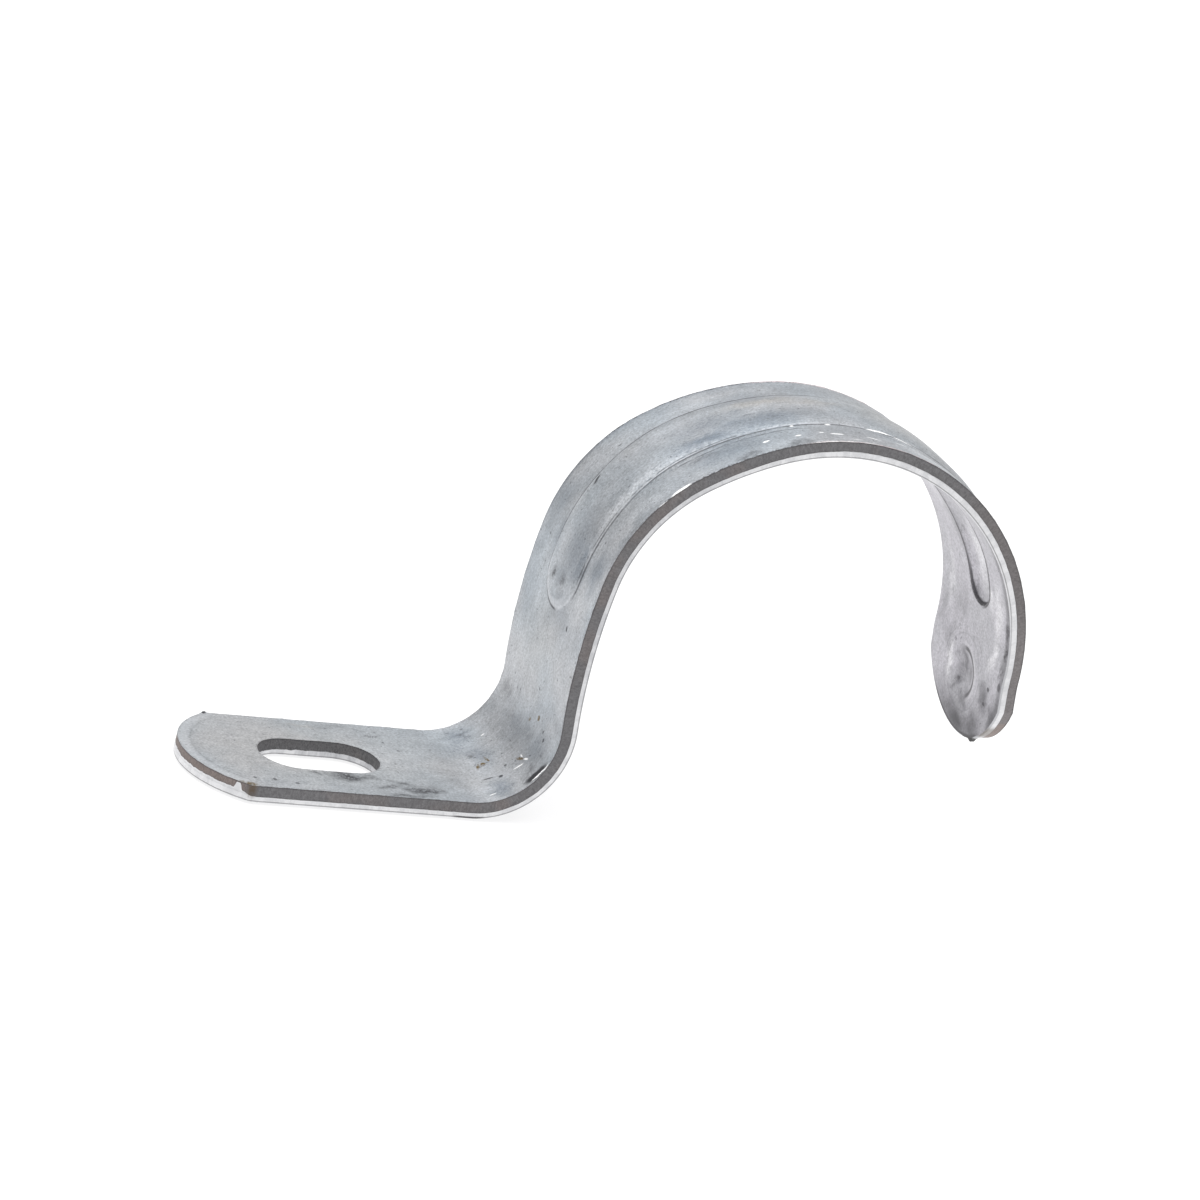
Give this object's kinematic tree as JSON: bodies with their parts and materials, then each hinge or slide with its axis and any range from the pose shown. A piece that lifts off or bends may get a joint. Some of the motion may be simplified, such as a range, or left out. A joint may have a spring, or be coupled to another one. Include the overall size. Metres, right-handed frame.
{
  "type": "conduit strap",
  "caption": "One-hole strap pressed from a single strip of zinc-coated steel: a flat slotted foot, a riser and a beaded arch that clamps a round conduit to a wall.",
  "frame": {"origin": "middle of the foot's slot, on the foot's flat wall face", "axes": "+X from the foot to the arch, along the strip; +Y along the conduit, across the strip; +Z away from the wall"},
  "size_m": [0.0927, 0.02, 0.0479],
  "materials": {
    "zinc_steel": "satin electro-zinc coat with darker, rough sheared edges"
  },
  "bodies": {
    "root": {"strap": "zinc_steel"}
  },
  "joints": []
}
